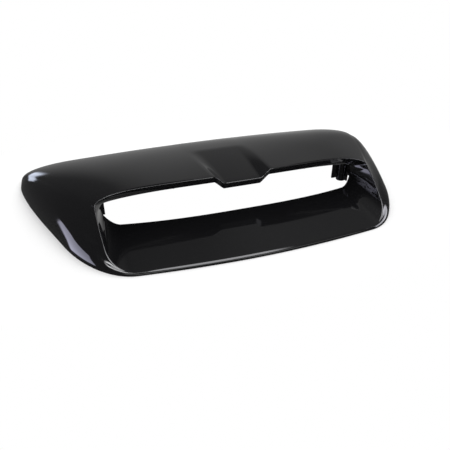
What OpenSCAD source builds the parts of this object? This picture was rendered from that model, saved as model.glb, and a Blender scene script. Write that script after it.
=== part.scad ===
// Bonnet scoop: one moulded shell with a wide mouth, a ramp below it and open underneath.
// Millimetres. +X is across the bonnet, -Y points to the nose, +Z is up.
// The origin is on the rim plane, in the middle of the footprint.

/* [Rim outline] */
// Half width where the front edge starts to turn into the side
rim_front_half = 170.5; // [120:0.5:180]
// Half width of the rim beside the mouth
rim_side_half = 241; // [200:0.5:260]
// Distance of that side point from the front edge
rim_side_y = 201.5; // [120:0.5:240]
// Half width of the rear corner before it is rounded
rim_rear_half = 238.5; // [215:0.5:260]
// Distance of the rear edge from the front edge at the centre
rim_rear_y = 282.5; // [220:0.5:300]
// Shares of the front edge and of the side that the front corner's rounding takes
rim_front_round = [0.24, 0.35]; // [0.05:0.01:0.45]
// Shares of the two side edges that the rounding between them takes
rim_side_round = [0.45, 0.45]; // [0.05:0.01:0.5]
// Shares of the side and of the rear edge that the rear corner's rounding takes
rim_rear_round = [0.39, 0.25]; // [0.05:0.01:0.5]

/* [Mouth edge] */
// Lower lip: distance behind the front edge
lip_y = 1.8; // [1.5:0.1:8]
// Lower lip: height of its edge
lip_z = 3.5; // [3.2:0.1:10]
// Lower lip: half width of its corner before it is rounded
lip_half = 153; // [120:0.5:170]
// Mouth end: half width
end_half = 158; // [130:0.5:170]
// Mouth end: distance behind the front edge
end_y = 47.5; // [20:0.5:70]
// Mouth end: height
end_z = 42; // [30:0.5:60]
// Roof lip: half width of its corner before it is rounded
roof_half = 157.5; // [140:0.5:180]
// Roof lip: distance behind the front edge at the centre
roof_y = 71; // [60:0.5:100]
// Roof lip: height at the centre, the highest point beside the channel
roof_z = 60; // [45:0.5:80]
// Shares of the lip and of the mouth end that the lower corner's rounding takes
lip_round = [0.15, 0.5]; // [0.05:0.01:0.5]
// Shares of the two edges of the mouth end that the rounding between them takes
end_round = [0.4, 0.4]; // [0.05:0.01:0.5]
// Shares of the mouth end and of the roof lip that the upper corner's rounding takes
roof_round = [0.32, 0.21]; // [0.05:0.01:0.5]

/* [Through opening] */
// Rear edge of the ramp: distance behind the front edge
ramp_y = 71.5; // [60:0.5:110]
// Rear edge of the ramp: height
ramp_z = 16.3; // [4:0.1:25]
// Rear edge of the ramp: half width of its corner before it is rounded
ramp_half = 141.0; // [110:0.5:150]
// End of the opening: half width
gap_end_half = 150.0; // [130:0.5:160]
// End of the opening: distance behind the front edge
gap_end_y = 94.5; // [60:0.5:110]
// End of the opening: height
gap_end_z = 24.0; // [15:0.5:45]
// Upper edge of the opening: half width of its corner before it is rounded
gap_top_half = 158; // [130:0.5:165]
// Upper edge of the opening: distance behind the front edge
gap_top_y = 75; // [65:0.5:105]
// Upper edge of the opening: height at the centre
gap_top_z = 52.1; // [35:0.1:60]
// Shares of the ramp and of the end that the lower corner's rounding takes
ramp_round = [0.28, 0.5]; // [0.05:0.01:0.5]
// Shares of the two edges of the end that the rounding between them takes
gap_end_round = [0.45, 0.45]; // [0.05:0.01:0.5]
// Shares of the end and of the upper edge that the upper corner's rounding takes
gap_top_round = [0.5, 0.265]; // [0.05:0.01:0.5]

/* [Sweep and crown] */
// Distance from the centre at which the sweeps and crowns below are measured
sweep_at = 150; // [120:1:180]
// How far the rim sweeps back there: front edge
rim_front_sweep = 10.8; // [0:0.1:20]
// How far the rim sweeps back there: rear edge
rim_rear_sweep = 0.4; // [0:0.1:25]
// How sharply the rim's sweep grows with the distance from the centre
rim_sweep_power = 1.88; // [1:0.01:3]
// How far the lower lip sweeps back there
lip_sweep = 11.6; // [0:0.1:25]
// How far the roof lip sweeps back there
roof_sweep = 10.8; // [0:0.1:25]
// How sharply the mouth edge's sweep grows
mouth_sweep_power = 2.19; // [1:0.01:4]
// Share of its height that the roof lip loses there
roof_crown = 0.141; // [0:0.001:0.4]
// How sharply that loss grows
roof_crown_power = 4.15; // [2:0.01:5]
// How far the ramp's rear edge sweeps back there
ramp_sweep = 11.7; // [0:0.1:25]
// How far the upper edge of the opening sweeps back there
gap_top_sweep = 10.9; // [0:0.1:25]
// How sharply the opening's sweep grows
gap_sweep_power = 1.79; // [1:0.01:3]
// Share of its height that the upper edge of the opening loses there
gap_crown = 0.177; // [0:0.001:0.4]
// How sharply that loss grows
gap_crown_power = 3.09; // [2:0.01:5]

/* [Outer skin] */
// Slope of the skin at the rim, in degrees: front, mouth end, rear corner, rear centre
rim_slope = [75, 63.6, 52.6, 43.5]; // [10:0.1:85]
// How far each of these slopes reaches, as a share of the way to the mouth edge
rim_reach = [0.35, 0.169, 0.151, 0.216]; // [0.1:0.001:0.6]
// Slope of the skin at the mouth edge, in degrees, at the same four places
mouth_slope = [10, 2, 8.4, -0.7]; // [-5:0.1:30]
// How far each of these slopes reaches
mouth_reach = [0.35, 0.579, 0.55, 0.563]; // [0.1:0.001:0.6]

/* [Roof channel] */
// Depth of the channel at the roof lip
channel_depth = 9; // [0:0.1:14]
// Half width of the channel floor at the roof lip
channel_floor_half = 21; // [10:0.5:30]
// Half width between the upper creases at the roof lip
channel_top_half = 31.5; // [20:0.5:45]
// Half width of the channel where it fades out
channel_rear_half = 27; // [10:0.5:40]
// Half of the difference between its upper and its floor width there
channel_rear_flank = 3; // [1:0.5:6]
// Distance behind the front edge where it fades out
channel_rear_y = 165; // [120:1:220]

/* [Wall] */
// Wall thickness of the moulding
wall = 2.5; // [2:0.1:4]
// Radius of the rounded mouth edge
edge_radius = 1.8; // [0.5:0.1:4]

/* [Fixing posts] */
// Distance of the fixing posts from the centre line
post_x = 160; // [120:1:190]
// Distance of the front pair from the front edge
post_front_y = 130; // [115:1:150]
// Distance of the rear pair from the front edge
post_rear_y = 220; // [180:1:230]
// Diameter of a fixing post
post_d = 12; // [10:0.5:16]
// Diameter of its screw hole
post_hole_d = 4.2; // [2.5:0.1:6]
// Depth of its screw hole
post_hole_depth = 12; // [8:0.5:18]
// Thickness of the webs that brace a post
web_thick = 2; // [1.5:0.1:3]
// How far a web stands out from the post
web_reach = 8; // [4:0.5:12]
// Height of the webs' feet above the bonnet
web_lift = 4; // [2:0.5:10]

/* [Mouth bosses] */
// Distance of the upper bosses from the centre line
upper_boss_x = 76; // [50:1:95]
// Height of the end bosses
end_boss_z = 22; // [15:0.5:26]
// Diameter of a boss
boss_d = 7; // [6:0.1:9]
// Diameter of its screw hole
boss_hole_d = 2.8; // [2:0.1:3.5]
// Depth of its screw hole
boss_hole_depth = 9; // [6:0.5:10]
// Length of a boss
boss_length = 12; // [11:0.5:18]

/* [Hidden] */

straight_steps = 10;
corner_steps = 8;
side_steps = 4;
flank_steps = 3;
floor_steps = 3;
skin_steps = 12;
edge_steps = 3;
recess_steps = 4;
corner_pull = 0.62;
round_facets = 48;
hole_facets = 32;
// Least height of the inner wall's rings above the land.
foot_gap = 0.25;
// Least cosine with which the two insets of the mouth edge are joined.
least_fold = -0.3;
// How far a cutting shape runs past the face it cuts.
clear = 1;

function mix(a, b, t) = a + (b - a) * t;
function limit(t) = min(1, max(0, t));
function ease(t) = let (u = limit(t)) u * u * (3 - 2 * u);
function unit(v) = v / norm(v);
function bezier(a, b, c, d, t) =
    pow(1 - t, 3) * a + 3 * pow(1 - t, 2) * t * b + 3 * (1 - t) * t * t * c + pow(t, 3) * d;

// A straight run of n stations that stops short of its end.
function run(a, b, n) = [for (i = [0:n - 1]) mix(a, b, i / n)];
// A rounded corner at v between a and b, n stations, also short of its end.
function turn(a, v, b, n) =
    [for (i = [0:n - 1]) bezier(a, mix(a, v, corner_pull), mix(b, v, corner_pull), b, i / n)];
// The point of the line from a to b that has the given x.
function at_x(a, b, x) = mix(a, b, (a.x - x) / (a.x - b.x));

// Half a closed loop, from the front centre round the +X side to the rear centre.
// v holds its five corner points, c the share of each edge that a corner takes, w the x of two creases.
function half_loop(v, c, w) =
    let (
        a1 = mix(v[1], v[0], c[0][0]),
        b1 = mix(v[1], v[2], c[0][1]),
        a2 = mix(v[2], v[1], c[1][0]),
        b2 = mix(v[2], v[3], c[1][1]),
        a3 = mix(v[3], v[2], c[2][0]),
        b3 = mix(v[3], v[4], c[2][1]),
        outer = at_x(b3, v[4], w[0]),
        inner = at_x(b3, v[4], w[1])
    )
    concat(
        run(v[0], a1, straight_steps),
        turn(a1, v[1], b1, corner_steps),
        run(b1, a2, side_steps),
        turn(a2, v[2], b2, corner_steps),
        run(b2, a3, side_steps),
        turn(a3, v[3], b3, corner_steps),
        run(b3, outer, straight_steps),
        run(outer, inner, flank_steps),
        run(inner, v[4], floor_steps),
        [v[4]]
    );

// Sweeps a half loop back with x, and lowers it towards the ends.
// sweep holds its amount at the front, its amount at y_rear and its power; crown its amount and its power.
function bend(half, sweep, y_rear, crown) =
    [for (p = half)
        let (
            u = abs(p.x) / sweep_at,
            back = mix(sweep[0], sweep[1], limit(p.y / y_rear))
        )
        [p.x, p.y + back * pow(u, sweep[2]), p.z * (1 - crown[0] * pow(u, crown[1]))]];

rim_half = bend(
    half_loop(
        [[0, 0, 0], [rim_front_half, 0, 0], [rim_side_half, rim_side_y, 0],
         [rim_rear_half, rim_rear_y, 0], [0, rim_rear_y, 0]],
        [rim_front_round, rim_side_round, rim_rear_round],
        [channel_rear_half + channel_rear_flank, channel_rear_half - channel_rear_flank]),
    [rim_front_sweep, rim_rear_sweep, rim_sweep_power], rim_rear_y, [0, 1]);

mouth_flat = bend(
    half_loop(
        [[0, lip_y, lip_z], [lip_half, lip_y, lip_z], [end_half, end_y, end_z],
         [roof_half, roof_y, roof_z], [0, roof_y, roof_z]],
        [lip_round, end_round, roof_round],
        [channel_top_half, channel_floor_half]),
    [lip_sweep, roof_sweep, mouth_sweep_power], roof_y, [roof_crown, roof_crown_power]);

gap_flat = bend(
    half_loop(
        [[0, ramp_y, ramp_z], [ramp_half, ramp_y, ramp_z], [gap_end_half, gap_end_y, gap_end_z],
         [gap_top_half, gap_top_y, gap_top_z], [0, gap_top_y, gap_top_z]],
        [ramp_round, gap_end_round, gap_top_round],
        [channel_top_half, channel_floor_half]),
    [ramp_sweep, gap_top_sweep, gap_sweep_power], gap_top_y, [gap_crown, gap_crown_power]);

stations = len(rim_half) - 1;
crease_station = stations - floor_steps - flank_steps;
floor_station = stations - floor_steps;

// Share of the channel depth at a station: 0 outside the creases, 1 on its floor.
function channel_share(i) = limit((i - crease_station) / flank_steps);
function lowered(half) =
    [for (i = [0:stations]) half[i] - [0, 0, channel_depth * channel_share(i)]];

mouth_half = lowered(mouth_flat);
gap_half = lowered(gap_flat);

// Position round the half loop: 0 front, 1 mouth end, 2 rear corner, 3 rear centre.
side_station = straight_steps + corner_steps + side_steps + corner_steps / 2;
rear_station = side_station + corner_steps / 2 + side_steps + corner_steps / 2;
function place(i) =
    i <= straight_steps ? 0
    : i <= side_station ? (i - straight_steps) / (side_station - straight_steps)
    : i <= rear_station ? 1 + (i - side_station) / (rear_station - side_station)
    : 2 + (i - rear_station) / (stations - rear_station);
// Runs a smooth curve through four values, one for each of those places.
function round_about(v, i) =
    let (
        p = place(i),
        k = min(2, floor(p)),
        t = p - k,
        rise = [0, (v[2] - v[0]) / 2, (v[3] - v[1]) / 2, 0],
        s = ease(t)
    )
    mix(v[k], v[k + 1], s) + t * (1 - t) * ((1 - t) * rise[k] - t * rise[k + 1]);

// Outer skin of station i, t from 0 at the rim to 1 at the mouth edge, before the channel is cut in.
function skin_flat(i, t) =
    let (
        a = rim_half[i],
        d = mouth_flat[i],
        inward = unit([d.x - a.x, d.y - a.y, 0]),
        size = norm(d - a),
        s = round_about(rim_slope, i),
        e = round_about(mouth_slope, i),
        b = a + round_about(rim_reach, i) * size * (cos(s) * inward + [0, 0, sin(s)]),
        c = d - round_about(mouth_reach, i) * size * (cos(e) * inward + [0, 0, sin(e)])
    )
    bezier(a, b, c, d, t);
function channel_fade(y) = limit((channel_rear_y - y) / (channel_rear_y - roof_y));
function skin(i, t) =
    let (p = skin_flat(i, t))
    p - [0, 0, channel_depth * channel_share(i) * channel_fade(p.y)];

// The skin stops short of the mouth edge by the edge radius, and the rounded edge takes over.
function skin_end(i) =
    1 - edge_radius / (3 * round_about(mouth_reach, i) * norm(mouth_flat[i] - rim_half[i]));
function recess_start(i) =
    let (v = gap_half[i] - mouth_half[i])
    mouth_half[i] + unit(v) * min(edge_radius, norm(v) / 3);

function mirrored(half) =
    concat(half, [for (i = [stations - 1:-1:1]) [-half[i].x, half[i].y, half[i].z]]);

skin_rings = [for (k = [0:skin_steps]) mirrored([for (i = [0:stations]) skin(i, skin_end(i) * k / skin_steps)])];
edge_rings = [for (k = [1:edge_steps]) mirrored([for (i = [0:stations])
    let (a = skin(i, skin_end(i)), b = mouth_half[i], c = recess_start(i), t = k / edge_steps)
    pow(1 - t, 2) * a + 2 * (1 - t) * t * b + t * t * c])];
recess_rings = [for (k = [0:recess_steps]) mirrored([for (i = [0:stations])
    mix(recess_start(i), gap_half[i], k / recess_steps)])];

// Unit normal of a ring grid, pointing out of the wall.
function normal(g, k, i) =
    let (
        n = len(g[0]),
        along = g[k][(i + 1) % n] - g[k][(i + n - 1) % n],
        across = g[min(k + 1, len(g) - 1)][i] - g[max(k - 1, 0)][i]
    )
    unit(cross(along, across));
function inset(g, k, d) = [for (i = [0:len(g[0]) - 1]) g[k][i] - d * normal(g, k, i)];
// Keeps a ring of the inner wall above the land.
function lifted(ring) = [for (p = ring) [p.x, p.y, max(p.z, foot_gap)]];

edge_ring = mirrored(mouth_half);
// Inner corner behind the rounded mouth edge, where the two inset faces meet.
inner_edge = [for (i = [0:len(edge_ring) - 1])
    let (
        m = normal(skin_rings, skin_steps, i),
        n = normal(recess_rings, 0, i)
    )
    edge_ring[i] - wall * (m + n) / (1 + max(least_fold, m * n))];
// The land that lies on the bonnet is as wide as the wall that stands on it at the rim's slope.
function land(i) = wall / sin(round_about(rim_slope, min(i, 2 * stations - i)));
inner_rim = [for (i = [0:len(edge_ring) - 1])
    let (
        p = skin_rings[0][i],
        q = skin_rings[skin_steps][i]
    )
    p + land(i) * unit([q.x - p.x, q.y - p.y, 0])];

shell_rings = concat(
    skin_rings,
    edge_rings,
    [for (k = [1:recess_steps]) recess_rings[k]],
    [for (k = [recess_steps:-1:1]) inset(recess_rings, k, wall)],
    [inner_edge],
    [for (k = [skin_steps - 1:-1:2]) lifted(inset(skin_rings, k, wall))],
    [inner_rim]);

// The origin moves to the middle of the footprint.
overall_depth = max([for (p = skin_rings[0]) p.y]);

// Last station of the opening's upper edge that lies at least x from the centre.
function station_at_x(x) = max([for (i = [rear_station:stations]) if (gap_half[i].x >= x) i]);
// The point of that edge at x.
function upper_point(x) =
    let (k = station_at_x(x))
    mix(gap_half[k], gap_half[k + 1], (gap_half[k].x - x) / (gap_half[k].x - gap_half[k + 1].x));
// Last station of the opening's end that lies no higher than z.
function station_at_z(z) = max([for (i = [straight_steps:side_station + corner_steps]) if (gap_half[i].z <= z) i]);
// The point of that end at height z.
function end_point(z) =
    let (k = station_at_z(z))
    mix(gap_half[k], gap_half[k + 1], (z - gap_half[k].z) / (gap_half[k + 1].z - gap_half[k].z));

// The upper bosses stand out behind the roof lip, flush with its lower edge.
upper_edge = upper_point(upper_boss_x);
upper_boss_z = upper_edge.z + boss_d / 2;
upper_boss_end_y = upper_edge.y + boss_length;
// The end bosses stand beside the opening, half in the thickness of its end wall.
end_edge = end_point(end_boss_z);
end_boss_x = end_edge.x + wall / 2 + boss_d / 2;
end_boss_end_y = end_edge.y + boss_length / 2;

// Joins closed rings into one closed tube-like solid.
module ring_solid(rings) {
    n = len(rings[0]);
    m = len(rings);
    faces = [for (k = [0:m - 1]) for (i = [0:n - 1])
        let (
            a = k * n + i,
            b = k * n + (i + 1) % n,
            c = ((k + 1) % m) * n + (i + 1) % n,
            d = ((k + 1) % m) * n + i
        )
        for (f = [[a, c, b], [a, d, c]]) f];
    polyhedron(points = [for (r = rings) for (p = r) p], faces = faces, convexity = 8);
}

// Outer skin node nearest above a point, as [ring, station], and the plane that touches the skin there.
skin_nodes = [for (k = [1:skin_steps]) for (i = [0:2 * stations - 1]) [k, i]];
function gap_to(q, x, y) = norm([skin_rings[q[0]][q[1]].x - x, skin_rings[q[0]][q[1]].y - y]);
function nearest(x, y) =
    let (d = [for (q = skin_nodes) gap_to(q, x, y)])
    skin_nodes[search(min(d), d)[0]];

// Keeps what lies on the far side of a plane through p with normal n.
module beyond_plane(p, n) {
    reach = 2 * rim_rear_half;
    intersection() {
        children();
        translate(p)
        rotate([0, acos(n.z), atan2(n.y, n.x)])
        translate([-reach, -reach, -2 * reach])
        cube(2 * reach);
    }
}

// Keeps what lies under the middle of the wall, measured by the plane touching the skin over (x, y).
module under_wall(x, y) {
    q = nearest(x, y);
    n = normal(skin_rings, q[0], q[1]);
    beyond_plane(skin_rings[q[0]][q[1]] - n * wall / 2, n) children();
}

// Post that stands on the bonnet and takes a screw from below, braced by two crossed webs.
module fixing_post(x, y) {
    span = post_d + 2 * web_reach;
    difference() {
        under_wall(x, y) translate([x, y, 0]) {
            cylinder(d = post_d, h = roof_z, $fn = round_facets);
            for (size = [[span, web_thick], [web_thick, span]])
                translate([-size.x / 2, -size.y / 2, web_lift]) cube([size.x, size.y, roof_z]);
        }
        translate([x, y, -clear]) cylinder(d = post_hole_d, h = post_hole_depth + clear, $fn = hole_facets);
    }
}

// Boss that ends at y and takes a screw from the rear.
module mouth_boss(x, y, z, length) {
    translate([x, y, z]) rotate([90, 0, 0])
    difference() {
        cylinder(d = boss_d, h = length, $fn = round_facets);
        translate([0, 0, -clear]) cylinder(d = boss_hole_d, h = boss_hole_depth + clear, $fn = hole_facets);
    }
}

// Upper boss: it grows out of the middle of the wall behind the roof lip.
module upper_boss(side) {
    k = station_at_x(upper_boss_x);
    n = normal(recess_rings, 1, k);
    middle = mix(mouth_half[k], gap_half[k], 0.5) - n * wall / 2;
    flip = [side, 1, 1];
    beyond_plane([for (i = [0:2]) middle[i] * flip[i]], [for (i = [0:2]) n[i] * flip[i]])
        mouth_boss(side * upper_boss_x, upper_boss_end_y, upper_boss_z, boss_length + roof_z - gap_top_z);
}

module scoop_moulding() {
    color([0.02, 0.02, 0.022])
    translate([0, -overall_depth / 2, 0])
    union() {
        ring_solid(shell_rings);
        for (side = [-1, 1]) {
            fixing_post(side * post_x, post_front_y);
            fixing_post(side * post_x, post_rear_y);
            upper_boss(side);
            mouth_boss(side * end_boss_x, end_boss_end_y, end_boss_z, boss_length);
        }
    }
}

scoop_moulding();
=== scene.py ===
"""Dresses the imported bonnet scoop: one gloss black moulding on a white studio table."""

import logging
import math
from dataclasses import dataclass
from enum import Enum

import bpy
import numpy as np
from mathutils import Matrix, Vector

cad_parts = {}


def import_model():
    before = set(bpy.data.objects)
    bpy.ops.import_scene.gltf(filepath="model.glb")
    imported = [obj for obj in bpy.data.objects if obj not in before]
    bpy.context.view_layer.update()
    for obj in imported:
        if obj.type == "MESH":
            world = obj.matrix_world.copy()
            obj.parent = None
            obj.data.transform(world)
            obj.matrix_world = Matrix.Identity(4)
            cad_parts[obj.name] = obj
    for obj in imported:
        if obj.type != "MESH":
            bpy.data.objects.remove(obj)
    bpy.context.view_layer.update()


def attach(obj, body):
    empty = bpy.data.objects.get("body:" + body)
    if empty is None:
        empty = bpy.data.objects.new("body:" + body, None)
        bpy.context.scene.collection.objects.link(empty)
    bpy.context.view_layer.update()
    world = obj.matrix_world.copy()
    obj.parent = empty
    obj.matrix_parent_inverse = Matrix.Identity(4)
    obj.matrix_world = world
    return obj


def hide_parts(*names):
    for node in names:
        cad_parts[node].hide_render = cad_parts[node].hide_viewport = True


LOG = logging.getLogger("bonnet_scoop")

Point = tuple[float, float, float]
Colour = tuple[float, float, float]
Span = tuple[float, float]
ZoneValues = tuple[float, float, float, float]
Socket = bpy.types.NodeSocket

# Metres in a millimetre.
MM = 0.001
# Smallest number that a length or a width is divided by.
TINY = 1e-9
# Distance from the centre line, in mm, at which a loop's sweep and crown are given.
SWEEP_AT = 150.0
# Share of the way from a corner's ends to its point at which its handles stand.
CORNER_PULL = 0.62
# Places between the rear corner (2) and the rear centre (3) of the corner's end and the channel's flank.
CORNER_END = 2.25
FLANK_TOP = 2.81
FLANK_FOOT = 2.87


class Zone(Enum):
    """Places round the scoop between which slopes and reaches are blended."""

    FRONT = 0
    MOUTH_END = 1
    REAR_CORNER = 2
    REAR_CENTRE = 3


def mix(a: np.ndarray, b: np.ndarray, t: float | np.ndarray) -> np.ndarray:
    """Returns the point a share t of the way from a to b."""
    return a + (b - a) * t


def ease(t: np.ndarray) -> np.ndarray:
    """Returns a smooth step of t, held at 0 and 1."""
    u = np.clip(t, 0.0, 1.0)
    return u * u * (3.0 - 2.0 * u)


def unit(v: np.ndarray) -> np.ndarray:
    """Returns vectors of length 1 along the last axis."""
    return v / np.maximum(np.linalg.norm(v, axis=-1, keepdims=True), TINY)


def shares(count: int) -> np.ndarray:
    """Returns a column of even shares that starts at 0 and ends one step before 1."""
    return np.arange(count)[:, None] / count


def bezier(a: np.ndarray, b: np.ndarray, c: np.ndarray, d: np.ndarray, t: np.ndarray) -> np.ndarray:
    """Draws points of a cubic curve.

    Args:
        a: Start point.
        b: First handle.
        c: Second handle.
        d: End point.
        t: Place along the curve, broadcast against the points.

    Returns:
        The points at t.
    """
    return (1 - t) ** 3 * a + 3 * (1 - t) ** 2 * t * b + 3 * (1 - t) * t * t * c + t ** 3 * d


def heading(turn: float, rise: float) -> Point:
    """Works out a direction.

    Args:
        turn: Degrees from +Y towards +X.
        rise: Degrees above the horizon.

    Returns:
        The unit vector.
    """
    t, r = math.radians(turn), math.radians(rise)
    return (math.sin(t) * math.cos(r), math.cos(t) * math.cos(r), math.sin(r))


def stand(name: str, data: bpy.types.ID) -> bpy.types.Object:
    """Makes an object and puts it in the scene.

    Args:
        name: Its name.
        data: Its mesh, lamp or camera.

    Returns:
        The object, at the origin.
    """
    made = bpy.data.objects.new(name, data)
    bpy.context.scene.collection.objects.link(made)
    return made


def smooth(mesh: bpy.types.Mesh, degrees: float) -> None:
    """Shades a mesh smooth and keeps the edges hard that bend by more than the given angle."""
    mesh.shade_smooth()
    mesh.set_sharp_from_angle(angle=math.radians(degrees))


class NodeDraft:
    """Adds nodes to a tree, and sets or links their inputs."""

    def __init__(self, tree: bpy.types.NodeTree) -> None:
        """Works on the given tree."""
        self.tree = tree

    def feed(self, node: bpy.types.Node, inputs: dict) -> None:
        """Fills inputs of a node.

        Args:
            node: The node.
            inputs: The value, or the socket that feeds it, for each input's name or number.
        """
        for key, value in inputs.items():
            if isinstance(value, Socket):
                self.tree.links.new(value, node.inputs[key])
            else:
                node.inputs[key].default_value = value

    def add(self, kind: str, inputs: dict | None = None) -> bpy.types.Node:
        """Adds one node.

        Args:
            kind: Its type's name in Blender.
            inputs: What its inputs get, as in feed.

        Returns:
            The node.
        """
        node = self.tree.nodes.new(kind)
        self.feed(node, inputs or {})
        return node

    def maths(self, operation: str, *values: float | Socket) -> Socket:
        """Adds a sum on numbers.

        Args:
            operation: Its name in Blender.
            *values: Numbers or sockets, in order.

        Returns:
            The socket with the result.
        """
        node = self.add("ShaderNodeMath", dict(enumerate(values)))
        node.operation = operation
        return node.outputs["Value"]

    def vector(self, operation: str, *values: Point | Socket) -> bpy.types.NodeOutputs:
        """Adds a sum on vectors.

        Args:
            operation: Its name in Blender.
            *values: Vectors or sockets, in order.

        Returns:
            The node's outputs, Vector and Value.
        """
        node = self.add("ShaderNodeVectorMath", dict(enumerate(values)))
        node.operation = operation
        return node.outputs

    def scaled(self, vector: Point | Socket, factor: Socket) -> Socket:
        """Adds a vector times a factor.

        Args:
            vector: The vector.
            factor: The socket with the factor.

        Returns:
            The socket with the product.
        """
        node = self.add("ShaderNodeVectorMath")
        node.operation = "SCALE"
        self.feed(node, {0: vector, "Scale": factor})
        return node.outputs["Vector"]

    def shifted(self, start: Socket, direction: Socket, distance: Socket, sign: float) -> Socket:
        """Adds the point that lies a distance along a direction.

        Args:
            start: The socket with the point to go from.
            direction: The socket with the unit vector.
            distance: The socket with the distance.
            sign: 1 with the direction, -1 against it.

        Returns:
            The socket with the point.
        """
        step = self.scaled(direction, self.maths("MULTIPLY", distance, sign))
        return self.vector("ADD", start, step)["Vector"]

    def ranged(self, value: Socket, start: float, end: float, to: Span = (0.0, 1.0),
               eased: bool = False) -> Socket:
        """Adds a value's place in a range, held at both ends.

        Args:
            value: The socket with the value.
            start: The value that gives the first result.
            end: The value that gives the last result.
            to: The first and the last result.
            eased: Whether the ends are soft.

        Returns:
            The socket with the result.
        """
        node = self.add("ShaderNodeMapRange", {"Value": value, "From Min": start, "From Max": end,
                                               "To Min": to[0], "To Max": to[1]})
        if eased:
            node.interpolation_type = "SMOOTHSTEP"
        return node.outputs["Result"]

    def blended(self, share: Socket, first: Socket, second: Socket) -> Socket:
        """Adds a blend of two shaders.

        Args:
            share: The socket with the share of the second.
            first: The first shader's socket.
            second: The second shader's socket.

        Returns:
            The blend's socket.
        """
        return self.add("ShaderNodeMixShader", {"Fac": share, 1: first, 2: second}).outputs["Shader"]


@dataclass(frozen=True)
class Density:
    """How many stations lie round half a loop, and how many rings cross the surface.

    Attributes:
        straight: Stations along half the front, and again along the rear up to the channel.
        corner: Stations in each of the three corners.
        side: Stations from one corner to the next.
        flank: Stations down the channel's flank.
        floor: Stations over half of the channel's floor.
        skin: Rings from the rim to the mouth edge.
        edge: Rings over the rounded mouth edge.
        recess: Rings from the mouth edge to the opening.
        inner: About how many rings the inside of the skin has.
    """

    straight: int = 24
    corner: int = 22
    side: int = 12
    flank: int = 8
    floor: int = 8
    skin: int = 44
    edge: int = 7
    recess: int = 18
    inner: int = 20

    @property
    def half(self) -> int:
        """Stations from the front centre to the rear centre."""
        return 2 * self.straight + 3 * self.corner + 2 * self.side + self.flank + self.floor

    @property
    def crease(self) -> int:
        """Station of the channel's upper crease."""
        return self.half - self.floor - self.flank

    @property
    def mouth_end(self) -> float:
        """Station in the middle of the second corner."""
        return self.straight + self.corner + self.side + self.corner / 2

    @property
    def rear_corner(self) -> float:
        """Station in the middle of the third corner."""
        return self.mouth_end + self.corner + self.side

    @property
    def evening(self) -> int:
        """Stations to each side over which the skin's handles are evened out."""
        return self.corner * 3 // 4

    @property
    def foot(self) -> int:
        """Rings at the skin's foot that the inside skips on its way to the land on the rim."""
        return self.skin // 6


@dataclass(frozen=True)
class Loop:
    """Half of a closed loop, from the front centre round the +X side to the rear centre, in mm.

    Attributes:
        corners: Front centre, three corner points and rear centre.
        cuts: Where each corner's rounding starts and ends, as shares of the two lines that meet there.
        creases: X of the upper and the lower crease of the channel's flank.
        sweep_front: How far the front runs back at SWEEP_AT.
        sweep_rear: How far the rear runs back there.
        sweep_power: How suddenly it runs back.
        crown: Share of the height that is lost at SWEEP_AT.
        crown_power: How suddenly it is lost.
    """

    corners: tuple[Point, Point, Point, Point, Point]
    cuts: tuple[Span, Span, Span]
    creases: Span
    sweep_front: float
    sweep_rear: float
    sweep_power: float
    crown: float = 0.0
    crown_power: float = 1.0

    def points(self, n: Density) -> np.ndarray:
        """Draws the loop.

        Args:
            n: The station counts.

        Returns:
            One point for each station, the rear centre included.
        """
        v = np.array(self.corners, float)
        rows, last, rear = [], v[0], v[4]
        for i, (cut, steps) in enumerate(zip(self.cuts, (n.straight, n.side, n.side)), start=1):
            a, b = mix(v[i], v[i - 1], cut[0]), mix(v[i], v[i + 1], cut[1])
            rows.append(mix(last, a, shares(steps)))
            handles = mix(a, v[i], CORNER_PULL), mix(b, v[i], CORNER_PULL)
            rows.append(bezier(a, *handles, b, shares(n.corner)))
            last = b
        for x, steps in zip((*self.creases, 0.0), (n.straight, n.flank, n.floor)):
            end = mix(last, rear, (last[0] - x) / max(last[0] - rear[0], TINY))
            rows.append(mix(last, end, shares(steps)))
            last = end
        rows.append(rear[None])
        return self._bent(np.concatenate(rows), rear[1])

    def _bent(self, flat: np.ndarray, rear_y: float) -> np.ndarray:
        """Sweeps the loop back with x and lowers it towards its ends.

        Args:
            flat: The loop's points before that.
            rear_y: Y of its rear centre.

        Returns:
            The points in their places.
        """
        p = flat.copy()
        u = np.abs(p[:, 0]) / SWEEP_AT
        share = np.clip(p[:, 1] / rear_y, 0.0, 1.0)
        sweep = self.sweep_front + (self.sweep_rear - self.sweep_front) * share
        p[:, 1] += sweep * u ** self.sweep_power
        p[:, 2] *= 1.0 - self.crown * u ** self.crown_power
        return p


@dataclass(frozen=True)
class Channel:
    """Shallow channel along the middle of the roof, in mm.

    Attributes:
        depth: How deep it is at the mouth.
        front_y: Where it starts to fade.
        rear_y: Where it has faded out.
        softness: How much the creases of its flanks are eased, from 0 to 1.
    """

    depth: float = 9.0
    front_y: float = 71.0
    rear_y: float = 165.0
    softness: float = 0.25

    def fade(self, y: np.ndarray) -> np.ndarray:
        """Returns the share of the depth that is left at y."""
        return np.clip((self.rear_y - y) / (self.rear_y - self.front_y), 0.0, 1.0)


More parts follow.
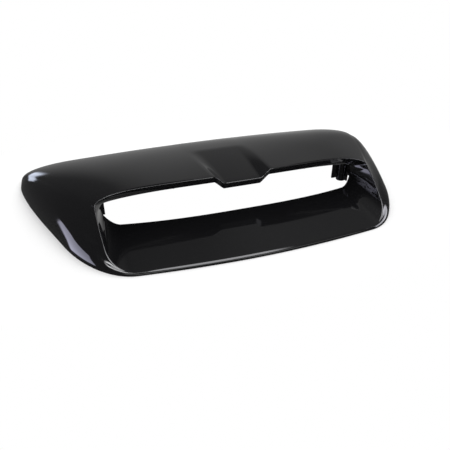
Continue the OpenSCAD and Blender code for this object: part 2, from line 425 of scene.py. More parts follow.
@dataclass(frozen=True)
class GlossBlack:
    """Deep gloss black moulded plastic with a faint ripple and fine handling marks.

    Attributes:
        colour: Its base colour.
        ior: Its refractive index.
        roughness: Roughness where it has no marks.
        ripple_scale: How close the ripples are.
        ripple_detail: How broken up they are.
        ripple_strength: How much of their height shows.
        ripple_height: Their height, in metres.
        mark_scale: How close the marks are.
        mark_detail: How broken up they are.
        mark_range: From which noise value to which the marks grow.
        mark_roughness: Roughness that the marks add.
        mark_paleness: How many times as pale as the colour they are.
    """

    colour: Colour = (0.0045, 0.0045, 0.005)
    ior: float = 1.49
    roughness: float = 0.045
    ripple_scale: float = 34.0
    ripple_detail: float = 1.0
    ripple_strength: float = 0.25
    ripple_height: float = 0.00006
    mark_scale: float = 9.0
    mark_detail: float = 6.0
    mark_range: Span = (0.35, 0.75)
    mark_roughness: float = 0.035
    mark_paleness: float = 1.6

    def material(self) -> bpy.types.Material:
        """Builds the node material.

        Returns:
            The finished material.
        """
        mat = bpy.data.materials.new("gloss_black_plastic")
        mat.use_nodes = True
        draft = NodeDraft(mat.node_tree)
        place = draft.add("ShaderNodeTexCoord").outputs["Object"]
        ripple = draft.add("ShaderNodeTexNoise", {
            "Vector": place, "Scale": self.ripple_scale, "Detail": self.ripple_detail}).outputs["Fac"]
        bump = draft.add("ShaderNodeBump", {
            "Height": ripple, "Strength": self.ripple_strength, "Distance": self.ripple_height})
        marks = draft.add("ShaderNodeTexNoise", {
            "Vector": place, "Scale": self.mark_scale, "Detail": self.mark_detail}).outputs["Fac"]
        roughest = self.roughness + self.mark_roughness
        rough = draft.ranged(marks, *self.mark_range, to=(self.roughness, roughest))
        tint = draft.add("ShaderNodeMix")
        tint.data_type = "RGBA"
        pale = tuple(self.mark_paleness * c for c in self.colour)
        draft.feed(tint, {"Factor": marks, "A": (*self.colour, 1.0), "B": (*pale, 1.0)})
        draft.feed(mat.node_tree.nodes["Principled BSDF"], {
            "IOR": self.ior, "Coat Weight": 0.0, "Base Color": tint.outputs["Result"],
            "Roughness": rough, "Normal": bump.outputs["Normal"]})
        return mat


@dataclass
class MouldedShell:
    """The moulding: outer skin, rounded mouth edge, recess with its ramp, and the inside of the wall.

    Its sizes are in mm, with y 0 at the middle of the rim's front.

    Attributes:
        density: Stations and rings.
        channel: The channel in the roof.
        wall: Thickness of the wall.
        edge_radius: Rounding of the mouth edge.
        foot_gap: Least height of the inside above the rim plane.
        mitre_limit: Lowest cosine between skin and recess for which the inner corner is drawn out.
        hard_angle: Bend in degrees from which an edge stays hard.
        rim_slope: Degrees above the horizontal at which the skin leaves the rim, for each Zone.
        rim_reach: Length of the skin's handle at the rim, as a share of its width, for each Zone.
        mouth_slope: Degrees above the horizontal at which the skin meets the mouth edge, for each Zone.
        mouth_reach: Length of the skin's handle at the mouth edge, as a share, for each Zone.
        rim: The lower edge, which lies on the bonnet.
        mouth: The front edge, before the channel is sunk into it.
        gap: The edge of the opening at the back of the recess, before the channel.
    """

    density: Density = Density()
    channel: Channel = Channel()
    wall: float = 2.5
    edge_radius: float = 1.8
    foot_gap: float = 0.25
    mitre_limit: float = -0.3
    hard_angle: float = 50.0
    rim_slope: ZoneValues = (86.0, 60.2, 66.6, 46.2)
    rim_reach: ZoneValues = (0.535, 0.227, 0.144, 0.274)
    mouth_slope: ZoneValues = (-5.0, -3.0, 5.5, 4.1)
    mouth_reach: ZoneValues = (0.35, 0.415, 0.352, 0.582)
    rim: Loop = Loop(
        corners=((0, 0, 0), (170.5, 0, 0), (240.96, 201.5, 0), (238.5, 282.5, 0), (0, 282.5, 0)),
        cuts=((0.24, 0.35), (0.45, 0.45), (0.39, 0.25)),
        creases=(45.0, 30.0),
        sweep_front=10.8, sweep_rear=0.4, sweep_power=1.88)
    mouth: Loop = Loop(
        corners=((0, 1.8, 3.5), (153, 1.8, 3.5), (158, 47.5, 42), (157.5, 71, 60), (0, 71, 60)),
        cuts=((0.15, 0.5), (0.4, 0.4), (0.32, 0.21)),
        creases=(31.5, 21.0),
        sweep_front=11.6, sweep_rear=10.8, sweep_power=2.19, crown=0.141, crown_power=4.15)
    gap: Loop = Loop(
        corners=((0, 71.5, 16.3), (141.5, 71.5, 16.3), (155, 82, 35.4), (144.5, 75, 52.1), (0, 75, 52.1)),
        cuts=((0.06, 0.5), (0.45, 0.45), (0.5, 0.5)),
        creases=(31.5, 21.0),
        sweep_front=11.3, sweep_rear=19.0, sweep_power=2.8, crown=0.205, crown_power=3.15)

    def __post_init__(self) -> None:
        """Draws the three loops and the handles that the surfaces run between."""
        n = self.density
        self.rim_line = self.rim.points(n)
        self.mouth_flat = self.mouth.points(n)
        drop = np.zeros((n.half + 1, 3))
        drop[:, 2] = self.channel.depth * self._channel_share()
        self.mouth_line = self.mouth_flat - drop
        self.gap_line = self.gap.points(n) - drop
        self.rim_handle = self.rim_line + self._handles(self.rim_slope, self.rim_reach)
        self.mouth_handle = self.mouth_flat - self._handles(self.mouth_slope, self.mouth_reach)

    def _channel_share(self) -> np.ndarray:
        """Works out how much of the channel's depth each station has.

        Returns:
            One share for each station.
        """
        n, soft = self.density, self.channel.softness
        u = np.clip((np.arange(n.half + 1) - n.crease) / n.flank, 0.0, 1.0)
        return (1.0 - soft) * u + soft * ease(u)

    def _round_about(self, values: ZoneValues) -> np.ndarray:
        """Blends values over the stations.

        Args:
            values: One for each Zone.

        Returns:
            One for each station.
        """
        n = self.density
        stations = [0, n.straight, n.mouth_end, n.rear_corner, n.rear_corner + n.corner / 2,
                    n.crease, n.half - n.floor, n.half]
        places = [Zone.FRONT.value, Zone.FRONT.value, Zone.MOUTH_END.value, Zone.REAR_CORNER.value,
                  CORNER_END, FLANK_TOP, FLANK_FOOT, Zone.REAR_CENTRE.value]
        place = np.interp(np.arange(n.half + 1), stations, places)
        v = np.array(values)
        k = np.minimum(len(Zone) - 2, place.astype(int))
        t = place - k
        rise = np.array([0.0, (v[2] - v[0]) / 2, (v[3] - v[1]) / 2, 0.0])
        curve = t * (1 - t) * ((1 - t) * rise[k] - t * rise[k + 1])
        return v[k] + (v[k + 1] - v[k]) * ease(t) + curve

    def _evened(self, steps: np.ndarray) -> np.ndarray:
        """Evens steps out over neighbouring stations, so that no fold shows where a corner ends.

        Args:
            steps: One step for each station.

        Returns:
            The evened steps.
        """
        side = self.density.evening
        weight = np.hanning(2 * side + 3)[1:-1]
        flip = np.array([-1.0, 1.0, 1.0])
        run_on = np.concatenate([steps[side:0:-1] * flip, steps, steps[-2:-side - 2:-1] * flip])
        share = weight / weight.sum()
        return np.stack([np.convolve(column, share, "valid") for column in run_on.T], axis=1)

    def _handles(self, slope: ZoneValues, reach: ZoneValues) -> np.ndarray:
        """Draws the skin's handles at one of its edges, as steps inward and upward.

        Args:
            slope: Degrees above the horizontal, for each Zone.
            reach: Lengths as shares of the skin's width, for each Zone.

        Returns:
            One step for each station.
        """
        inward = self.mouth_flat - self.rim_line
        size = np.linalg.norm(inward, axis=1, keepdims=True)
        inward[:, 2] = 0.0
        angle = np.radians(self._round_about(slope))[:, None]
        way = np.cos(angle) * unit(inward) + np.sin(angle) * np.array([0.0, 0.0, 1.0])
        return self._evened(self._round_about(reach)[:, None] * size * way)

    def skin_at(self, t: np.ndarray) -> np.ndarray:
        """Draws the outer skin.

        Args:
            t: For each station, the place from 0 at the rim to 1 at the mouth edge.

        Returns:
            One point for each station.
        """
        p = bezier(self.rim_line, self.rim_handle, self.mouth_handle, self.mouth_flat, t[:, None])
        p[:, 2] -= self.channel.depth * self._channel_share() * self.channel.fade(p[:, 1])
        return p

    @staticmethod
    def _mirrored(half: np.ndarray) -> np.ndarray:
        """Closes half a loop with its mirror image.

        Args:
            half: Its points, from the front centre to the rear centre.

        Returns:
            The whole loop's points.
        """
        other = half[-2:0:-1].copy()
        other[:, 0] *= -1
        return np.concatenate([half, other])

    @staticmethod
    def _normals(grid: np.ndarray) -> np.ndarray:
        """Works out the normals of closed rings, out of the wall.

        Args:
            grid: The rings' points.

        Returns:
            One unit vector for each point.
        """
        along = np.roll(grid, -1, axis=1) - np.roll(grid, 1, axis=1)
        across = np.empty_like(grid)
        across[1:-1] = grid[2:] - grid[:-2]
        across[0] = grid[1] - grid[0]
        across[-1] = grid[-1] - grid[-2]
        return unit(np.cross(along, across))

    def rings(self) -> np.ndarray:
        """Draws all rings in order, from the rim over the skin and recess and back inside the wall.

        Returns:
            The rings' points, in mm.
        """
        n = self.density
        size = np.linalg.norm(self.mouth_flat - self.rim_line, axis=1)
        end = 1 - self.edge_radius / (3 * self._round_about(self.mouth_reach) * size)
        skin = np.stack([self._mirrored(self.skin_at(end * k / n.skin)) for k in range(n.skin + 1)])
        run = self.gap_line - self.mouth_line
        length = np.linalg.norm(run, axis=1, keepdims=True)
        start = self.mouth_line + run / length * np.minimum(self.edge_radius, length / 3)
        a, b = self.skin_at(end), self.mouth_line
        edge = np.stack([self._mirrored((1 - t) ** 2 * a + 2 * (1 - t) * t * b + t * t * start)
                         for t in np.linspace(0, 1, n.edge + 1)[1:]])
        recess = np.stack([self._mirrored(mix(start, self.gap_line, k / n.recess))
                           for k in range(n.recess + 1)])
        return np.concatenate([skin, edge, recess[1:], self._inside(skin, recess)])

    def _inside(self, skin: np.ndarray, recess: np.ndarray) -> np.ndarray:
        """Draws the inside of the wall, from the opening over the recess and the skin to the rim's land.

        Args:
            skin: The outer skin's rings.
            recess: The recess's rings.

        Returns:
            The inner rings' points.
        """
        n = self.density
        skin_n, recess_n = self._normals(skin), self._normals(recess)
        back = recess - self.wall * recess_n
        under = skin - self.wall * skin_n
        both = skin_n[-1] + recess_n[0]
        cosine = np.maximum(self.mitre_limit, (skin_n[-1] * recess_n[0]).sum(1, keepdims=True))
        corner = self._mirrored(self.mouth_line) - self.wall * both / (1 + cosine)
        flat = skin[-1] - skin[0]
        flat[:, 2] = 0.0
        slope = self._round_about(self.rim_slope)
        width = self.wall / np.sin(np.radians(np.concatenate([slope, slope[-2:0:-1]])))
        land = skin[0] + width[:, None] * unit(flat)
        step = max(1, n.skin // n.inner)
        inside = under[n.skin - step:n.foot:-step].copy()
        inside[..., 2] = np.maximum(inside[..., 2], self.foot_gap)
        return np.concatenate([back[::-1][:-1], corner[None], inside, land[None]])

    def build(self, material: bpy.types.Material) -> bpy.types.Object:
        """Makes the moulding's mesh.

        Args:
            material: Its finish.

        Returns:
            The object, at the origin, with its place in its mesh.
        """
        middle = np.array([0.0, self.rim_line[:, 1].max() / 2, 0.0])
        points = (self.rings() - middle) * MM
        m, n = points.shape[:2]
        k, i = np.meshgrid(np.arange(m), np.arange(n), indexing="ij")
        a, b = k * n + i, k * n + (i + 1) % n
        c, d = ((k + 1) % m) * n + (i + 1) % n, ((k + 1) % m) * n + i
        faces = np.stack([a, b, c, d], -1).reshape(-1, 4)
        mesh = bpy.data.meshes.new("scoop_shell")
        mesh.from_pydata(points.reshape(-1, 3).tolist(), [], faces.tolist())
        mesh.materials.append(material)
        smooth(mesh, self.hard_angle)
        LOG.info("shell: %d rings of %d, %d faces", m, n, len(faces))
        return stand("scoop_shell", mesh)


class MeshDraft:
    """Collects the points and faces of a small part, in mm, and marks the points that reach the wall.

    Attributes:
        ROUND: Points in each circle.
        BEVEL: Width of the bevels at a pin's foot.
        WEB_STEPS: Faces along a web, so that its upper edge can follow the wall.
    """

    ROUND = 48
    BEVEL = 0.3
    WEB_STEPS = 8

    def __init__(self) -> None:
        """Starts with no points."""
        self.points: list[Point] = []
        self.faces: list[tuple[int, ...]] = []
        self.tips: list[float] = []

    def add(self, points: list[Point], tip: bool = False) -> list[int]:
        """Adds points.

        Args:
            points: Their places.
            tip: Whether they reach the wall.

        Returns:
            Their indices.
        """
        first = len(self.points)
        self.points += points
        self.tips += [float(tip)] * len(points)
        return list(range(first, len(self.points)))

    def ring(self, radius: float, height: float, tip: bool = False) -> list[int]:
        """Adds a circle of points.

        Args:
            radius: Its radius.
            height: Its z.
            tip: Whether the points reach the wall.

        Returns:
            The new points' indices.
        """
        turn = 2 * math.pi / self.ROUND
        return self.add([(radius * math.cos(i * turn), radius * math.sin(i * turn), height)
                         for i in range(self.ROUND)], tip)

    def join(self, low: list[int], high: list[int]) -> None:
        """Adds the faces between two rings, outward where low is below high.

        Args:
            low: The first ring's indices.
            high: The second ring's indices.
        """
        for i, a in enumerate(low):
            j = (i + 1) % len(low)
            self.faces.append((a, low[j], high[j], high[i]))

    def hollow_pin(self, outer: float, bore: float, depth: float, length: float) -> None:
        """Adds a round pin along +Z with a screw hole from its foot, whose top reaches the wall.

        Args:
            outer: The pin's radius.
            bore: The hole's radius.
            depth: The hole's depth.
            length: The pin's length before it is cut off at the wall.
        """
        wide = self.ring(outer, self.BEVEL)
        foot = self.ring(outer - self.BEVEL, 0.0)
        mouth = self.ring(bore + self.BEVEL, 0.0)
        neck = self.ring(bore, self.BEVEL)
        end = self.ring(bore, depth)
        self.join(foot, wide)
        self.join(wide, self.ring(outer, length, tip=True))
        self.join(mouth, foot)
        self.join(neck, mouth)
        self.join(end, neck)
        self.faces.append(tuple(end[::-1]))

    def web(self, turn: float, start: float, end: float, thick: float, foot: float, length: float) -> None:
        """Adds one upright web, whose upper edge reaches the wall.

        Args:
            turn: The direction in which it leaves the axis, in degrees.
            start: Where it starts, from the axis.
            end: Where it ends.
            thick: Its thickness.
            foot: The height of its lower edge.
            length: The height of its upper edge before that is cut off at the wall.
        """
        c, q = math.cos(math.radians(turn)), math.sin(math.radians(turn))
        rows = []
        for side in (-thick / 2, thick / 2):
            for tip, z in ((False, foot), (True, length)):
                rows.append(self.add([(c * r - q * side, q * r + c * side, z)
                                      for r in np.linspace(start, end, self.WEB_STEPS + 1)], tip))
        low_a, high_a, low_b, high_b = rows
        for i in range(self.WEB_STEPS):
            self.faces.append((low_a[i], low_a[i + 1], high_a[i + 1], high_a[i]))
            self.faces.append((low_b[i + 1], low_b[i], high_b[i], high_b[i + 1]))
            self.faces.append((low_b[i], low_b[i + 1], low_a[i + 1], low_a[i]))
        self.faces.append((low_a[-1], low_b[-1], high_b[-1], high_a[-1]))

    def build(self, name: str) -> bpy.types.Object:
        """Makes the mesh object.

        Args:
            name: Its name.

        Returns:
            An object that isn't linked to the scene yet.
        """
        mesh = bpy.data.meshes.new(name)
        mesh.from_pydata([tuple(c * MM for c in p) for p in self.points], [], self.faces)
        mesh.attributes.new("tip", "FLOAT", "POINT").data.foreach_set("value", self.tips)
        return bpy.data.objects.new(name, mesh)


@dataclass(frozen=True)
class Repeats:
    """Copies of one small part that stand at several places and reach up to the inside of the wall.

    Attributes:
        name: Name of the piece that holds them all.
        template: The part, which is removed in the end.
        places: Where the copies stand, in mm.
        turn: How each is turned, in radians.
        direction: The way in which each reaches the wall.
        reach: How long the part is, in mm.
        sink: How far its tip goes into the wall, in mm.
        hard_angle: Bend in degrees from which an edge stays hard.
    """

    name: str
    template: bpy.types.Object
    places: tuple[Point, ...]
    turn: Point
    direction: Point
    reach: float
    sink: float = 1.0
    hard_angle: float = 35.0

    def _tree(self) -> bpy.types.NodeTree:
        """Builds the node tree that copies the template and moves its marked points onto the wall.

        Returns:
            The tree, with a named input for each size.
        """
        tree = bpy.data.node_groups.new(self.name, "GeometryNodeTree")
        face = tree.interface
        face.new_socket("Geometry", in_out="OUTPUT", socket_type="NodeSocketGeometry")
        for label, kind in (("Geometry", "Geometry"), ("Template", "Object"), ("Wall", "Object"),
                            ("Turn", "Rotation"), ("Direction", "Vector"), ("Reach", "Float"),
                            ("Sink", "Float"), ("Finish", "Material")):
            face.new_socket(label, in_out="INPUT", socket_type="NodeSocket" + kind)
        draft = NodeDraft(tree)
        given = draft.add("NodeGroupInput").outputs
        part = draft.add("GeometryNodeObjectInfo", {"Object": given["Template"]})
        wall = draft.add("GeometryNodeObjectInfo", {"Object": given["Wall"]})
        copies = draft.add("GeometryNodeInstanceOnPoints", {
            "Points": given["Geometry"], "Instance": part.outputs["Geometry"], "Rotation": given["Turn"]})
        real = draft.add("GeometryNodeRealizeInstances", {"Geometry": copies.outputs["Instances"]})
        here = draft.add("GeometryNodeInputPosition").outputs["Position"]
        tip = draft.add("GeometryNodeInputNamedAttribute", {"Name": "tip"})
        ray = draft.add("GeometryNodeRaycast", {
            "Target Geometry": wall.outputs["Geometry"],
            "Source Position": draft.shifted(here, given["Direction"], given["Reach"], -1.0),
            "Ray Direction": given["Direction"], "Ray Length": given["Reach"]})
        goal = draft.add("GeometryNodeSwitch")
        goal.input_type = "VECTOR"
        draft.feed(goal, {
            "Switch": ray.outputs["Is Hit"], "False": here,
            "True": draft.shifted(ray.outputs["Hit Position"], given["Direction"], given["Sink"], 1.0)})
        move = draft.add("GeometryNodeSetPosition", {
            "Geometry": real.outputs["Geometry"], "Selection": tip.outputs["Attribute"],
            "Position": goal.outputs["Output"]})
        finish = draft.add("GeometryNodeSetMaterial", {
            "Geometry": move.outputs["Geometry"], "Material": given["Finish"]})
        draft.add("NodeGroupOutput", {"Geometry": finish.outputs["Geometry"]})
        return tree

    def build(self, wall: bpy.types.Object, finish: bpy.types.Material) -> bpy.types.Object:
        """Makes the copies.

        Args:
            wall: The moulding that the copies reach.
            finish: Their material.

        Returns:
            One plain mesh object that holds all the copies.
        """
        seats = bpy.data.meshes.new(self.name + "_places")
        seats.from_pydata([tuple(c * MM for c in p) for p in self.places], [], [])
        holder = stand(self.name + "_holder", seats)
        bpy.context.scene.collection.objects.link(self.template)
        modifier = holder.modifiers.new("copies", "NODES")
        tree = self._tree()
        values = {"Template": self.template, "Wall": wall, "Turn": self.turn, "Direction": self.direction,
                  "Reach": self.reach * MM, "Sink": self.sink * MM, "Finish": finish}
        modifier.node_group = tree
        for item in tree.interface.items_tree:
            if item.in_out == "INPUT" and item.name in values:
                modifier[item.identifier] = values[item.name]
        graph = bpy.context.evaluated_depsgraph_get()
        mesh = bpy.data.meshes.new_from_object(holder.evaluated_get(graph))
        mesh.name = self.name
        for attribute in [a for a in mesh.attributes if a.name == "tip"]:
            mesh.attributes.remove(attribute)
        made = stand(self.name, mesh)
        for obj in (holder, self.template):
            bpy.data.objects.remove(obj)
        smooth(mesh, self.hard_angle)
        LOG.info("%s: %d faces", self.name, len(mesh.polygons))
        return made


@dataclass(frozen=True)
class Fixings:
    """Sizes and places of the posts and bosses inside the moulding, in mm from the frame's origin.

    Attributes:
        post_x: Distance of the posts from the centre line.
        post_rows: Y of the front and of the rear posts.
        post_radius: Radius of a post.
        post_hole_radius: Radius of its screw hole.
        post_hole_depth: Depth of its screw hole.
        post_length: Length of a post before the wall cuts it off.
        web_turns: Directions of the webs round a post, in degrees.
        web_root: Where a web starts, as a share of the post's radius.
        web_reach: How far it stands out from the post.
        web_thick: Its thickness.
        web_foot: Height of its lower edge.
        boss_radius: Radius of a boss.
        boss_hole_radius: Radius of its screw hole.
        boss_hole_depth: Depth of its screw hole.
        upper_boss: Foot of the upper boss on the +X side.
        end_boss: Foot of the end boss on the +X side.
        upper_reach: Length of an upper boss before the wall cuts it off.
        end_reach: Length of an end boss before the wall cuts it off.
    """

    post_x: float = 160.0
    post_rows: Span = (-11.53, 78.47)
    post_radius: float = 6.0
    post_hole_radius: float = 2.1
    post_hole_depth: float = 12.0
    post_length: float = 58.0
    web_turns: tuple[int, ...] = (0, 90, 180, 270)
    web_root: float = 0.8
    web_reach: float = 8.0
    web_thick: float = 2.0
    web_foot: float = 4.0
    boss_radius: float = 3.5
    boss_hole_radius: float = 1.4
    boss_hole_depth: float = 9.0
    upper_boss: Point = (76.0, -51.3, 54.46)
    end_boss: Point = (154.75, -35.25, 22.0)
    upper_reach: float = 26.0
    end_reach: float = 24.0

    def posts(self) -> Repeats:
        """Draws the four posts with their crossed webs.

        Returns:
            The posts, which stand upright.
        """
        draft = MeshDraft()
        draft.hollow_pin(self.post_radius, self.post_hole_radius, self.post_hole_depth, self.post_length)
        for turn in self.web_turns:
            draft.web(turn, self.web_root * self.post_radius, self.post_radius + self.web_reach,
                      self.web_thick, self.web_foot, self.post_length)
        places = tuple((side * self.post_x, y, 0.0) for side in (-1, 1) for y in self.post_rows)
        return Repeats("fixing_posts", draft.build("post"), places, turn=(0.0, 0.0, 0.0),
                       direction=(0.0, 0.0, 1.0), reach=self.post_length)

    def bosses(self, name: str, place: Point, reach: float) -> Repeats:
        """Draws a mirrored pair of bosses that point to the mouth.

        Args:
            name: The pair's name.
            place: The foot of the one on the +X side.
            reach: Its length before the wall cuts it off.

        Returns:
            The pair.
        """
        draft = MeshDraft()
        draft.hollow_pin(self.boss_radius, self.boss_hole_radius, self.boss_hole_depth, reach)
        places = tuple((side * place[0], place[1], place[2]) for side in (-1, 1))
        return Repeats(name, draft.build(name + "_one"), places, turn=(math.pi / 2, 0.0, 0.0),
                       direction=(0.0, -1.0, 0.0), reach=reach)


@dataclass(frozen=True)
class PhotoCamera:
    """Camera at the photograph's viewing angle.

    Attributes:
        turn: Degrees from +Y towards +X in which it looks.
        tilt: Degrees below the horizon in which it looks.
        focal_px: Focal length in the photograph's pixels.
        photo_px: Width of the photograph in pixels.
        sensor: Width of the sensor, in mm.
        distance: Distance from the aim, in mm.
        aim: The point in the middle of the picture, in mm.
        nearest: Distance from which it sees things, in metres.
    """

    turn: float = 18.70
    tilt: float = 31.89
    focal_px: float = 480.0
    photo_px: float = 450.0
    sensor: float = 36.0
    distance: float = 537.3
    aim: Point = (-21.61, -72.06, 0.0)
    nearest: float = 0.01

    def build(self) -> bpy.types.Object:
        """Adds the camera.

        Returns:
            The camera object.
        """
        across = math.radians(self.turn)
        look = Vector(heading(self.turn, -self.tilt))
        right = Vector((math.cos(across), -math.sin(across), 0.0))
        up = right.cross(look)
        place = (Vector(self.aim) - self.distance * look) * MM
        data = bpy.data.cameras.new("photo_camera")
        data.sensor_width = self.sensor
        data.lens = self.sensor * self.focal_px / self.photo_px
        data.clip_start = self.nearest
        camera = stand("photo_camera", data)
        turned = Matrix((right, up, -look)).transposed().to_4x4()
        camera.matrix_world = Matrix.Translation(place) @ turned
        bpy.context.scene.camera = camera
        return camera


@dataclass(frozen=True)
class SoftBox:
    """A rectangular lamp that faces a point, in metres and watts. The gloss doesn't mirror it.

    Attributes:
        name: Its name.
        place: Where it hangs.
        aim: The point that it faces.
        size: Its width and height.
        power: Its power.
    """

    name: str
    place: Point
    aim: Point
    size: Span
    power: float

    def build(self) -> bpy.types.Object:
        """Adds the lamp.

        Returns:
            The lamp object.
        """
        data = bpy.data.lights.new(self.name, "AREA")
        data.shape = "RECTANGLE"
        data.size, data.size_y = self.size
        data.energy = self.power
        lamp = stand(self.name, data)
        lamp.location = self.place
        lamp.rotation_euler = (Vector(self.aim) - Vector(self.place)).to_track_quat("-Z", "Y").to_euler()
        lamp.visible_glossy = False
        return lamp


@dataclass(frozen=True)
class Glow:
    """A soft round patch of the room that glossy surfaces mirror.

    Attributes:
        turn: Degrees of its middle from +Y towards +X.
        rise: Degrees of its middle above the horizon.
        spread: Degrees from its middle to its outer end.
        amount: Its tone in the middle.
    """

    turn: float
    rise: float
    spread: float
    amount: float

    @property
    def colour(self) -> Colour:
        """Its grey in the middle."""
        return (self.amount, self.amount, self.amount)

    def shade(self, draft: NodeDraft, direction: Socket) -> Socket:
        """Adds the patch's nodes.

        Args:
            draft: The world's nodes.
            direction: The socket with the ray's direction.

        Returns:
            The socket with the patch's share, 0 to 1.
        """
        facing = draft.vector("DOT_PRODUCT", direction, heading(self.turn, self.rise))["Value"]
        return draft.ranged(facing, math.cos(math.radians(self.spread)), 1.0, eased=True)


@dataclass(frozen=True)
class Panel:
    """A bright rectangular panel of the room that glossy surfaces mirror.

    Attributes:
        turn: Degrees of its middle from +Y towards +X.
        rise: Degrees of its middle above the horizon.
        wide: Half its width, as the tangent of the angle.
        high: Half its height, as the tangent of the angle.
        colour: Its colour.
        edge: Half the width of its soft border, as the tangent of the angle.
        NEAREST: Least distance ahead that a ray's sideways way is divided by.
        AHEAD: Least distance ahead at which a ray meets the panel.
    """

    turn: float
    rise: float
    wide: float
    high: float
    colour: Colour
    edge: float = 0.05
    NEAREST = 0.001
    AHEAD = 0.01

    def shade(self, draft: NodeDraft, direction: Socket) -> Socket:
        """Adds the panel's nodes.

        Args:
            draft: The world's nodes.
            direction: The socket with the ray's direction.

        Returns:
            The socket with the panel's share, 0 to 1.
        """
        t, r = math.radians(self.turn), math.radians(self.rise)
        right = (math.cos(t), -math.sin(t), 0.0)
        up = (-math.sin(t) * math.sin(r), -math.cos(t) * math.sin(r), math.cos(r))
        ahead = draft.vector("DOT_PRODUCT", direction, heading(self.turn, self.rise))["Value"]
        near = draft.maths("MAXIMUM", ahead, self.NEAREST)
        share = draft.maths("GREATER_THAN", near, self.AHEAD)
        for axis, half in ((right, self.wide), (up, self.high)):
            sideways = draft.vector("DOT_PRODUCT", direction, axis)["Value"]
            off = draft.maths("ABSOLUTE", draft.maths("DIVIDE", sideways, near))
            inside = draft.ranged(off, half + self.edge, half - self.edge, eased=True)
            share = draft.maths("MULTIPLY", share, inside)
        return share


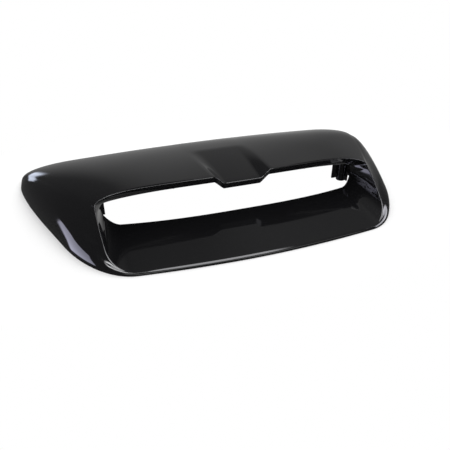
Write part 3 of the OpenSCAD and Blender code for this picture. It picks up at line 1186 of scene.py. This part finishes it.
@dataclass
class Studio:
    """White table, white surroundings and the lamp, in metres.

    Attributes:
        boxes: The lamps.
        glows: Soft patches of the room in reflections.
        panels: Bright panels of the room in reflections.
        dim: Tone of the room in reflections where it has neither.
        room: Strength of the even light from all round.
        table_half: Half the table's width.
        table_drop: How far the table lies below the scoop.
        table_tone: Its tone.
        under_y: Y of the middle of the oval under the scoop, which the camera sees plain white.
        under_half: Half the oval's width and depth.
        under_edge: The oval's soft border, as two shares of its size.
        fade: Between which shares of the oval's size the table turns plain white again.
    """

    boxes: tuple[SoftBox, ...] = (
        SoftBox("rear_box", (0.5, 0.5, 1.2), (0.0, 0.0, 0.0), (0.9, 0.7), 5.0),
    )
    glows: tuple[Glow, ...] = (
        Glow(6.0, -8.0, 29.0, 0.19),
        Glow(30.0, -26.0, 26.0, 0.2),
        Glow(42.0, 47.0, 17.0, 0.12),
        Glow(30.0, 0.0, 45.0, 0.07),
        Glow(18.0, 24.0, 22.0, 0.08),
        Glow(0.0, 90.0, 50.0, 0.2),
    )
    panels: tuple[Panel, ...] = (
        Panel(0.0, 90.0, 0.42, 0.42, (6.5, 6.5, 6.7)),
        Panel(104.0, 10.0, 0.4, 0.5, (5.0, 5.0, 5.4), 0.03),
        Panel(-71.3, -7.0, 0.27, 0.32, (3.0, 3.0, 3.8), 0.02),
        Panel(-131.0, 48.0, 0.25, 0.18, (15.0, 15.0, 15.4)),
        Panel(-19.0, 3.0, 0.14, 0.07, (2.2, 2.4, 2.9), 0.03),
        Panel(180.0, -8.0, 0.9, 0.14, (1.6, 1.6, 1.6), 0.08),
    )
    dim: float = 0.075
    room: float = 1.02
    table_half: float = 6.0
    table_drop: float = 0.0002
    table_tone: float = 0.92
    under_y: float = 0.03
    under_half: Span = (0.205, 0.115)
    under_edge: Span = (1.04, 0.98)
    fade: Span = (1.25, 2.1)

    def build(self) -> None:
        """Adds the world, the table and the lamps."""
        self._world()
        self._table()
        for box in self.boxes:
            box.build()

    def _world(self) -> None:
        """Adds white for the camera, a dim room for the gloss, and even light for the rest."""
        world = bpy.data.worlds.new("studio")
        bpy.context.scene.world = world
        world.use_nodes = True
        world.node_tree.nodes.clear()
        draft = NodeDraft(world.node_tree)
        direction = draft.add("ShaderNodeTexCoord").outputs["Generated"]
        path = draft.add("ShaderNodeLightPath").outputs
        total = (self.dim, self.dim, self.dim)
        for patch in self.glows + self.panels:
            tone = draft.scaled(patch.colour, patch.shade(draft, direction))
            total = draft.vector("ADD", tone, total)["Vector"]
        white = (1.0, 1.0, 1.0, 1.0)
        mirrored, even, seen = (
            draft.add("ShaderNodeBackground", inputs).outputs["Background"]
            for inputs in ({"Color": total}, {"Color": white, "Strength": self.room}, {"Color": white}))
        lit = draft.blended(path["Is Glossy Ray"], even, mirrored)
        draft.add("ShaderNodeOutputWorld", {"Surface": draft.blended(path["Is Camera Ray"], lit, seen)})

    def _table(self) -> None:
        """Adds a wide white table top that shows the scoop's shadow."""
        r, z = self.table_half, -self.table_drop
        mesh = bpy.data.meshes.new("table_top")
        mesh.from_pydata([(-r, -r, z), (r, -r, z), (r, r, z), (-r, r, z)], [], [(0, 1, 2, 3)])
        mesh.materials.append(self._table_white())
        table = stand("table_top", mesh)

    def _table_white(self) -> bpy.types.Material:
        """Builds the table's white, which the camera sees plain under the scoop and far away from it.

        Returns:
            The material. Glossy rays pass through it.
        """
        mat = bpy.data.materials.new("table_white")
        mat.use_nodes = True
        mat.node_tree.nodes.clear()
        draft = NodeDraft(mat.node_tree)
        place = draft.add("ShaderNodeTexCoord").outputs["Object"]
        path = draft.add("ShaderNodeLightPath").outputs
        tone = (self.table_tone, self.table_tone, self.table_tone, 1.0)
        white = draft.add("ShaderNodeBsdfDiffuse", {"Color": tone}).outputs["BSDF"]
        plain = draft.add("ShaderNodeEmission").outputs["Emission"]
        clear = draft.add("ShaderNodeBsdfTransparent").outputs["BSDF"]
        centred = draft.vector("SUBTRACT", place, (0.0, self.under_y, 0.0))["Vector"]
        scaled = draft.vector("DIVIDE", centred, (*self.under_half, 1.0))["Vector"]
        size = draft.vector("LENGTH", scaled)["Value"]
        inside, far = draft.ranged(size, *self.under_edge), draft.ranged(size, *self.fade)
        seen = draft.maths("MULTIPLY", path["Is Camera Ray"], draft.maths("MAXIMUM", inside, far))
        lit = draft.blended(seen, white, plain)
        draft.add("ShaderNodeOutputMaterial", {"Surface": draft.blended(path["Is Glossy Ray"], lit, clear)})
        return mat


def main() -> None:
    """Builds the scoop, the studio and the camera, and reports each piece."""
    logging.basicConfig(level=logging.INFO, format="%(name)s: %(message)s")
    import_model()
    black = GlossBlack().material()
    shell = MouldedShell().build(black)
    fixings = Fixings()
    repeats = (fixings.posts(),
               fixings.bosses("upper_bosses", fixings.upper_boss, fixings.upper_reach),
               fixings.bosses("end_bosses", fixings.end_boss, fixings.end_reach))
    pieces = [shell] + [copies.build(shell, black) for copies in repeats]
    for piece in pieces:
        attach(piece, "root")
        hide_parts("scoop_moulding")
    Studio().build()
    PhotoCamera().build()
    scene = bpy.context.scene
    scene.view_settings.view_transform = "Standard"


if __name__ == "__main__":
    main()
